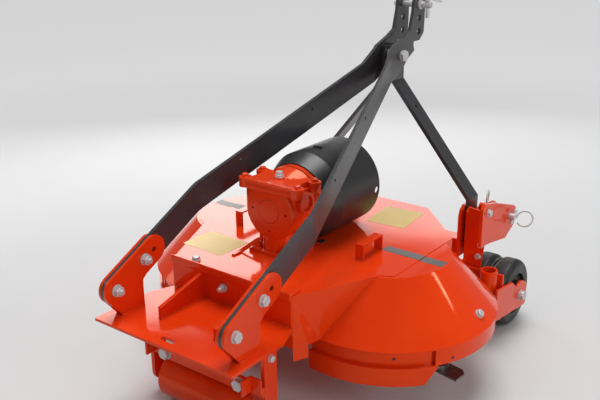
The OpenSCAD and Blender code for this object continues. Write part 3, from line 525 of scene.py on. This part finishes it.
def linch_pin(name, tip, head, ring_at, ring_faces, ring_r, pin_r=0.0045):
    """A linch pin from its tip to its head, with its ring about a centre and facing a direction."""
    tip, head, ring_at = Vector(tip), Vector(head), Vector(ring_at)
    ring_faces = Vector(ring_faces).normalized()
    length = (head - tip).length
    pin = begin(bpy.ops.mesh.primitive_cylinder_add, name, vertices=20, radius=pin_r, depth=length)
    pick("FACE", lambda middle, normal: normal.z < -0.9)
    bpy.ops.mesh.bevel(offset=0.0024, segments=3)
    pick("FACE", lambda middle, normal: normal.z > 0.9)
    pull(0.0, 0.0, 0.0012)
    bpy.ops.transform.resize(value=(1.55, 1.55, 1.0))
    pull(0.0, 0.0, 0.0075)
    bpy.ops.mesh.bevel(offset=0.0016, segments=3)
    close(pin, zinc_plate)
    lay(pin, tip, head)
    ring_start = (ring_r * math.cos(ring_gap), ring_r * math.sin(ring_gap), 0.0)
    ring = begin(bpy.ops.mesh.primitive_circle_add, name + "_ring", vertices=12, radius=ring_wire_r,
                 fill_type="NGON", location=ring_start, rotation=(math.pi / 2, 0.0, ring_gap))
    ring_turn = 2 * math.pi - 2 * ring_gap
    bpy.ops.mesh.spin(steps=44, angle=ring_turn, center=(0.0, 0.0, 0.0), axis=(0.0, 0.0, 1.0))
    close(ring, zinc_plate, 60)
    across = head - ring_at
    across -= ring_faces * across.dot(ring_faces)
    across.normalize()
    lie = Matrix((across, ring_faces.cross(across), ring_faces)).transposed().to_4x4()
    ring.data.transform(Matrix.Translation(ring_at) @ lie)
    return [pin, ring]


linch_pins = []
for side in (-1, 1):
    linch_pins += linch_pin(
        "outer_linch", tip=(side * 0.390, 0.535, 0.318), head=(side * 0.392, 0.556, 0.352),
        ring_at=(side * 0.421, 0.567, 0.334), ring_faces=(side * 0.10, -0.80, 0.59), ring_r=0.025)
    linch_pins += linch_pin(
        "inner_linch", tip=(side * 0.291, 0.539, 0.316), head=(side * 0.291, 0.556, 0.356),
        ring_at=(side * 0.294, 0.563, 0.381), ring_faces=(side * 0.951, 0.309, 0.0), ring_r=0.023)
linch_pins += linch_pin(
    "top_linch", tip=(0.0625, 0.5365, 0.933), head=(0.0610, 0.5365, 0.984),
    ring_at=(0.084, 0.5365, 0.994), ring_faces=(0.35, 0.1, 0.93), ring_r=0.023, pin_r=0.0060)
join("linch_pins", linch_pins, "frame")

# Front beam and the lower-link brackets: a square steel tube with plate cheeks and a rear web welded
# on at either end, sprayed with the deck in orange enamel.
dress(orange_enamel, 0.0014, "front_beam", "link_bracket_left", "link_bracket_right")

# Gearbox: sand-cast iron housing, lid and end cap, machined at the joint, bolted to the deck and
# painted with the deck; a plated steel breather stands in the lid.
cast_enamel = finish_of(
    "enamel on casting", film, 0.42, 0.0009,
    {"Colour": (0.83, 0.056, 0.006, 1.0), "Shade": (0.75, 0.041, 0.004, 1.0), "Dust": 0.03, "Grime": 0.0,
     "Gloss low": 0.12, "Gloss high": 0.22, "Peel scale": 260.0},
    Specular_IOR_Level=0.9, Specular_Tint=(1.0, 0.45, 0.25, 1.0))
dress(cast_enamel, 0.0022, "gearbox_housing", "gearbox_lid", "gearbox_cover")
dress(zinc_plate, 0.0008, "breather")

# Bolts of the gearbox lid and nuts on its foot: the same rolled steel heads and nuts as above, but
# tightened before painting, so that the casting's enamel covers them.
lid_bolt_x, lid_top = 0.090, 0.574
lid_bolts = []
for y in (-0.1705, -0.0965):
    lid_bolts += [set_on(head_m10, (side * lid_bolt_x, y, lid_top), (0, 0, 1)) for side in (-1, 1)]
foot_nut_x, foot_top = 0.052, 0.376
base_nuts = []
for y in (-0.1735, -0.0895):
    base_nuts += [set_on(nut_m16, (side * foot_nut_x, y, foot_top), (0, 0, 1)) for side in (-1, 1)]
for painted in lid_bolts + base_nuts:
    painted.data.materials[0] = cast_enamel
join("gearbox_lid_bolts", lid_bolts, "frame")
join("gearbox_base_nuts", base_nuts, "frame")

# Lips of the gearbox joint: two rounded ridges cast on the rear edges of the housing and the lid,
# one on each side of the split, tapered at their ends and painted with the casting.
lip_length, lip_depth, lip_y = 0.160, 0.0100, -0.1852
lips = []
for low, high in ((0.5468, 0.5578), (0.5608, 0.5736)):
    ridge = begin(bpy.ops.mesh.primitive_cube_add, "joint_lip", size=1.0)
    bpy.ops.transform.resize(value=(lip_length, lip_depth, high - low))
    pick("EDGE", lambda middle, along: abs(along.x) > 0.9 and middle.y < 0.0)
    bpy.ops.mesh.bevel(offset=0.0042, segments=4)
    pick("FACE", lambda middle, normal: abs(normal.x) > 0.9)
    bpy.ops.transform.resize(value=(1.0, 0.55, 0.8), center_override=(0.0, lip_depth / 2, 0.0))
    carry((0.0, lip_y, (low + high) / 2))
    lips.append(close(ridge, cast_enamel, 50))
join("gearbox_joint_lips", lips, "frame")

# Ring at the edge of the gearbox's end cap: a thin round bead of steel that lies against the rear
# face, about the drive's axis, and is painted over with the casting.
drive_z, cap_y = 0.494, -0.1828
cap_ring_r, cap_wire_r = 0.0345, 0.0012
cap_ring = begin(bpy.ops.mesh.primitive_circle_add, "gearbox_cap_ring", vertices=10, radius=cap_wire_r,
                 fill_type="NOTHING", location=(cap_ring_r, 0.0, 0.0), rotation=(math.pi / 2, 0.0, 0.0))
bpy.ops.mesh.spin(steps=72, angle=2 * math.pi, center=(0.0, 0.0, 0.0), axis=(0.0, 0.0, 1.0))
bpy.ops.mesh.select_all(action="SELECT")
bpy.ops.mesh.remove_doubles(threshold=0.0001)
close(cap_ring, cast_enamel, 60)
cap_ring.data.transform(Matrix.Translation((0.0, cap_y, drive_z)) @ Matrix.Rotation(math.pi / 2, 4, "X"))
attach(cap_ring, "frame")

# Hexagon of the breather: rolled steel, zinc plated, with a washer under it; by this hexagon the
# breather is screwed into the lid.
breather_y, breather_foot = -0.1335, 0.579
breather_nut = hexagon("breather_nut", across=0.021, high=0.0065, washer=0.0125)
join("breather_hexagon", [set_on(breather_nut, (0.0, breather_y, breather_foot), (0, 0, 1))], "frame")

# Rivets of the rim bands: low domes of pressed steel, two behind each rotor, where the band's rear end lies
# on the skirt. Their dark coat is partly painted shade: it stands for the dark of small holes in the bands
# at these places.
rivet = begin(bpy.ops.mesh.primitive_uv_sphere_add, "rivet", segments=20, ring_count=12, radius=0.0040)
bpy.ops.mesh.bisect(plane_co=(0.0, 0.0, 0.0), plane_no=(0.0, 0.0, 1.0), clear_inner=True, use_fill=True)
bpy.ops.mesh.select_all(action="SELECT")
bpy.ops.transform.resize(value=(1.0, 1.0, 0.55))
# The rivets' charcoal coat is partly painted shade, for the dark of small holes at these places.
close(rivet, charcoal_coat, 40)
rivets = []
for side in (-1, 1):
    rivets.append(set_on(rivet, (side * 0.4119, -0.1991, 0.194), (side * 0.58, -0.81, 0.0)))
    rivets.append(set_on(rivet, (side * 0.5200, -0.0893, 0.184), (side * 0.91, -0.41, 0.0)))
join("rim_rivets", rivets, "frame")

# Stay of the gearbox: a narrow flat bar with both ends bent level and their corners rounded, welded
# to the deck and to the neck of the housing, in the deck's enamel.
stay_w, stay_foot, stay_t = 0.012, 0.030, 0.005
stay = begin(bpy.ops.mesh.primitive_cube_add, "gearbox_stay", size=1.0)
bpy.ops.transform.resize(value=(stay_w, stay_foot, stay_t))
pick("FACE", lambda middle, normal: normal.y < -0.9)
pull(-0.002, -0.004, 0.0005)
pull(-0.034, -0.034, 0.032)
pull(-0.002, -0.004, 0.0005)
pull(-0.014, -0.024, 0.0)
pick("EDGE", lambda middle, along: abs(along.z) > 0.9 and abs(middle.y + 0.0255) > 0.036)
bpy.ops.mesh.bevel(offset=0.004, segments=3)
bpy.ops.mesh.select_all(action="SELECT")
bpy.ops.transform.rotate(value=math.pi, orient_axis="Z", center_override=(0.0, 0.0, 0.0))
bpy.ops.transform.translate(value=(-0.081, -0.2295, deck_top + stay_t / 2))
close(stay, orange_enamel)
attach(stay, "frame")

# Strap hooks on the deck, one on each side of the gearbox: flat bar bent to a low bridge, welded
# down at both feet and sprayed with the deck.
dress(orange_enamel, 0.0010, "hook_left", "hook_right")

# Shaft guard: one moulding of black polyethylene with a fine matt grain, open at the front for the
# drive shaft and clamped to the gearbox flange.
moulding, given, out = effect_group(
    "moulded skin",
    {"Colour": (0.02, 0.02, 0.02, 1.0), "Scuff": (0.06, 0.06, 0.06, 1.0), "Wear": 0.3,
     "Gloss low": 0.3, "Gloss high": 0.5, "Grain scale": 700.0},
    {"Colour": (0.0, 0.0, 0.0, 1.0), "Roughness": 0.0, "Height": 0.0})
place = shade(moulding, "TexCoord").outputs["Object"]
cloud = shade(moulding, "TexNoise", Vector=place, Scale=16.0, Detail=5.0, Roughness=0.6).outputs["Fac"]
grain = shade(moulding, "TexVoronoi", Vector=place, Scale=given["Grain scale"]).outputs["Distance"]
rub = combine(moulding, stretch(moulding, cloud, 0.48, 0.75), given["Wear"])
moulding.links.new(blend_colours(moulding, rub, given["Colour"], given["Scuff"]), out["Colour"])
gloss = stretch(moulding, cloud, 0.3, 0.7, given["Gloss low"], given["Gloss high"])
moulding.links.new(gloss, out["Roughness"])
moulding.links.new(combine(moulding, grain, combine(moulding, cloud, 0.4), "ADD"), out["Height"])
guard_black = finish_of(
    "black moulded plastic", moulding, 0.10, 0.0004,
    {"Colour": (0.017, 0.017, 0.019, 1.0), "Scuff": (0.034, 0.034, 0.035, 1.0), "Wear": 0.35,
     "Gloss low": 0.32, "Gloss high": 0.44},
    Specular_IOR_Level=0.65)
dress(guard_black, 0.0010, "shaft_guard", crease=14)

# Plug in the deck: a round black moulding with a rounded edge and a sunk middle, pressed into a hole
# in front of the gearbox.
plug_r, plug_high, plug_sunk = 0.010, 0.004, 0.0022
plug = begin(bpy.ops.mesh.primitive_cylinder_add, "deck_plug", vertices=32, radius=plug_r, depth=plug_high,
             location=(0.059, -0.0205, deck_top + plug_high / 2))
pick("FACE", lambda middle, normal: normal.z > 0.9)
bpy.ops.mesh.bevel(offset=0.0015, segments=3)
pick("FACE", lambda middle, normal: normal.z > 0.99 and middle.z > 0.0015)
bpy.ops.mesh.inset(thickness=0.0035)
pull(0.0, 0.0, -plug_sunk)
close(plug, guard_black)
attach(plug, "frame")

# Latch on the guard: a small tab of the same black plastic with a sunk face and round corners, set
# on top of the guard.
latch_l, latch_w, latch_t, latch_sunk = 0.030, 0.011, 0.0035, 0.0022
latch = begin(bpy.ops.mesh.primitive_cube_add, "guard_latch", size=1.0)
bpy.ops.transform.resize(value=(latch_l, latch_w, latch_t))
pick("FACE", lambda middle, normal: normal.z > 0.9)
bpy.ops.mesh.inset(thickness=0.0024)
pull(0.0, 0.0, -latch_sunk)
pick("EDGE", lambda middle, along: abs(along.z) > 0.9 and abs(middle.x) > 0.0145)
bpy.ops.mesh.bevel(offset=0.0022, segments=3)
carry((0.0, 0.042, 0.6215))
close(latch, guard_black)
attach(latch, "frame")

# Rotors and blades: a bar under each spindle with a blade hung at either end, forged and hot rolled
# steel, oiled and left bare.
bare_steel = finish_of(
    "oiled bare steel", plating, 0.22, 0.0005,
    {"Colour": (0.22, 0.21, 0.20, 1.0), "Tarnish": (0.11, 0.085, 0.065, 1.0), "Stain": 0.7,
     "Gloss low": 0.30, "Gloss high": 0.52},
    Metallic=0.9)
dress(bare_steel, 0.0008, "rotor_left", "rotor_right", "blades_left", "blades_right")

# Drive stub: a turned shaft of the same bare steel, with six splines that run out at its front end and
# a ring groove across them for the coupling's lock; behind them a plain neck and the journal that
# runs in the gearbox.
spline_r, root_share, ring_share, end_share = 0.01745, 0.845, 0.88, 0.94
stub_rear, spline_rear, journal_r, journal_l = -0.0005, 0.0195, 0.0220, 0.044
along_y = (-math.pi / 2, 0.0, 0.0)
spline_runs = ((0.0415, 1.0), (0.0010, ring_share), (0.0110, 1.0), (0.0010, 1 / ring_share),
               (0.0239, 1.0), (0.0016, end_share))


def in_groove(at):
    """Tells whether a point of the stub lies between two of its six splines."""
    return (math.degrees(math.atan2(at.z - drive_z, at.x)) % 60) > 27


stub = begin(bpy.ops.mesh.primitive_circle_add, "splined_stub", vertices=144, radius=spline_r,
             fill_type="NGON", location=(0.0, spline_rear, drive_z), rotation=along_y)
bpy.ops.object.mode_set(mode="OBJECT")
bpy.ops.object.transform_apply(location=True, rotation=True)
bpy.ops.object.mode_set(mode="EDIT")
pick("VERT", lambda at, normal: in_groove(at))
bpy.ops.transform.resize(value=(root_share, 1.0, root_share), center_override=(0.0, spline_rear, drive_z))
reach = spline_rear
for run, share in spline_runs:
    pick("FACE", lambda middle, normal: abs(normal.y) > 0.9 and middle.y > reach - 0.00001)
    pull(0.0, run, 0.0)
    reach += run
    if share != 1.0:
        pick("VERT", lambda at, normal: at.y > reach - 0.00001 and not in_groove(at))
        bpy.ops.transform.resize(value=(share, 1.0, share), center_override=(0.0, reach, drive_z))
bpy.ops.mesh.select_all(action="DESELECT")
bpy.ops.mesh.primitive_cylinder_add(vertices=72, radius=spline_r, depth=spline_rear - stub_rear,
                                    location=(0.0, (spline_rear + stub_rear) / 2, drive_z), rotation=along_y)
bpy.ops.mesh.select_all(action="DESELECT")
bpy.ops.mesh.primitive_cylinder_add(vertices=48, radius=journal_r, depth=journal_l,
                                    location=(0.0, stub_rear - journal_l / 2, drive_z), rotation=along_y)
pick("FACE", lambda middle, normal: normal.y > 0.9 and abs(middle.y - stub_rear) < 0.0003)
bpy.ops.mesh.bevel(offset=0.002, segments=2)
close(stub, bare_steel)
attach(stub, "drive_stub")
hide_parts("drive_stub")

# Bolts of the rotors: plated steel, a head below and a nut above at each blade, and one large head in
# the middle that draws the rotor up on its spindle.
rotor_x, rotor_y, blade_reach = 0.246, 0.0375, 0.168
rotor_low, blade_bolt_low, blade_bolt_top = 0.090, 0.084, 0.102
for side, turned, body in ((-1, 101, "rotor_left"), (1, -11, "rotor_right")):
    rotor_bolts = []
    for along in (-blade_reach, blade_reach):
        bolt_x = side * rotor_x + along * math.cos(math.radians(turned))
        bolt_y = rotor_y + along * math.sin(math.radians(turned))
        rotor_bolts.append(set_on(head_m16, (bolt_x, bolt_y, blade_bolt_low), (0, 0, -1)))
        rotor_bolts.append(set_on(nut_m16, (bolt_x, bolt_y, blade_bolt_top), (0, 0, 1)))
    rotor_bolts.append(set_on(head_m20, (side * rotor_x, rotor_y, rotor_low), (0, 0, -1)))
    join(body + "_bolts", rotor_bolts, body)

# Spindle housings: turned steel cups under the belt case that hold the rotors' bearings, fixed to
# the case from below and sprayed with it.
dress(orange_enamel, 0.0010, "spindle_housing_left", "spindle_housing_right")

# Front wheels: two solid rubber wheels on a common hub, on a plated axle between two plates. The plates
# and the socket above them are welded from cut plate and tube and sprayed with the deck.
tyre_rubber = finish_of(
    "black tyre rubber", moulding, 0.25, 0.0006,
    {"Colour": (0.014, 0.014, 0.014, 1.0), "Scuff": (0.05, 0.047, 0.042, 1.0), "Wear": 0.4,
     "Gloss low": 0.36, "Gloss high": 0.55, "Grain scale": 500.0},
    Specular_IOR_Level=0.5)
dress(tyre_rubber, 0.0, "wheels_left", "wheels_right")
dress(orange_enamel, 0.0012, "wheel_socket_left", "wheel_socket_right",
      "wheel_plates_left", "wheel_plates_right")
dress(zinc_plate, 0.0008, "wheel_axle_left", "wheel_axle_right")

# Rear roller: a closed steel drum on stub axles, between two legs of plate that a bar joins, all in
# the deck's enamel.
dress(orange_enamel, 0.0012, "roller_legs", "roller_bar", "rear_roller")

# The models that the copies were made from are taken away: bolts, nuts, the rivet and the clip.
# Each copy has a mesh of its own, so none of them changes.
for model in (head_m10, head_m12, head_m16, head_m20, nut_m12, nut_m16, mast_head, axle_nut, breather_nut,
              rivet, clip):
    bpy.data.objects.remove(model)

# Studio floor: a wide sheet of pale paper with a faint fibre, a little darker round the mower, so that
# its shadow shows, and near white further off.
bpy.ops.object.select_all(action="DESELECT")
bpy.ops.mesh.primitive_plane_add(size=40.0)
floor = bpy.context.object
floor.name = "studio_floor"
paper = bpy.data.materials.new("studio paper")
paper.use_nodes = True
tree = paper.node_tree
tree.nodes.clear()
place = shade(tree, "TexCoord").outputs["Object"]
fibre = shade(tree, "TexNoise", Vector=place, Scale=3.0, Detail=4.0).outputs["Fac"]
distance = shade(tree, "VectorMath", {"operation": "LENGTH"})
tree.links.new(place, distance.inputs[0])
near_paper = blend_colours(tree, fibre, (0.63, 0.63, 0.63, 1.0), (0.65, 0.65, 0.65, 1.0))
far_off = stretch(tree, distance.outputs["Value"], 1.2, 4.5)
toned_paper = blend_colours(tree, far_off, near_paper, (0.90, 0.90, 0.90, 1.0))
sheet = shade(tree, "BsdfPrincipled", Roughness=0.7, Specular_IOR_Level=0.3, Base_Color=toned_paper)
shade(tree, "OutputMaterial", Surface=sheet.outputs["BSDF"])
floor.data.materials.append(paper)

# Studio light: an even pale sky, soft boxes on both sides and above, panels in front of the mower that
# the deck's top mirrors, a strip for the cone's highlight, and broad light from overhead.
world = bpy.data.worlds.new("studio")
bpy.context.scene.world = world
world.use_nodes = True
sky = world.node_tree.nodes["Background"]
sky.inputs["Color"].default_value = (1.0, 1.0, 1.0, 1.0)
sky.inputs["Strength"].default_value = 0.23


def soft_box(name, at, aim, size, power):
    """An area lamp that faces a point."""
    lamp = bpy.data.lights.new(name, "AREA")
    lamp.shape = "RECTANGLE"
    lamp.size, lamp.size_y = size
    lamp.energy = power
    stand = bpy.data.objects.new(name, lamp)
    bpy.context.collection.objects.link(stand)
    stand.location = at
    stand.rotation_euler = (Vector(aim) - Vector(at)).to_track_quat("-Z", "Y").to_euler()
    stand.visible_camera = False


soft_box("panel_left", at=(-2.0, 1.5, 1.30), aim=(-0.2, -0.1, deck_top), size=(1.3, 0.75), power=13.0)
soft_box("panel_behind", at=(-0.88, 2.8, 1.21), aim=(0.2, 0.25, deck_top), size=(1.3, 0.62), power=6.0)
soft_box("panel_above", at=(0.1, -0.3, 3.0), aim=(0.0, 0.0, 0.4), size=(2.0, 1.2), power=12.0)
soft_box("box_left", at=(-2.8, -1.2, 1.7), aim=(0.0, 0.0, 0.4), size=(1.2, 1.4), power=14.0)
soft_box("box_right", at=(3.2, -0.7, 1.6), aim=(0.0, 0.0, 0.3), size=(0.9, 1.2), power=27.0)
soft_box("strip", at=(2.40, 1.50, 2.35), aim=(0.45, -0.01, 0.32), size=(0.14, 0.8), power=6.0)
daylight = bpy.data.objects.new("broad_light", bpy.data.lights.new("broad_light", "SUN"))
bpy.context.collection.objects.link(daylight)
daylight.data.energy = 1.7
daylight.data.angle = math.radians(36)
daylight.rotation_euler = Vector((0.10, -0.25, -1.0)).to_track_quat("-Z", "Y").to_euler()

# Camera: at the photograph's viewing angle, behind the mower and to its right, with the place, aim,
# roll and lens found from the edges and corners that the photograph shows.
camera = bpy.data.objects.new("camera", bpy.data.cameras.new("camera"))
bpy.context.collection.objects.link(camera)
eye = Vector((1.3290, -1.7775, 1.2757))
target = Vector((-0.0314, -0.0030, 0.4680))
roll = math.radians(-0.5445)
turn = (target - eye).to_track_quat("-Z", "Y").to_matrix() @ Matrix.Rotation(roll, 3, "Z")
camera.matrix_world = Matrix.Translation(eye) @ turn.to_4x4()
camera.data.lens = 49.42
camera.data.sensor_width = 36.0
bpy.context.scene.camera = camera
bpy.context.scene.view_settings.view_transform = "Standard"
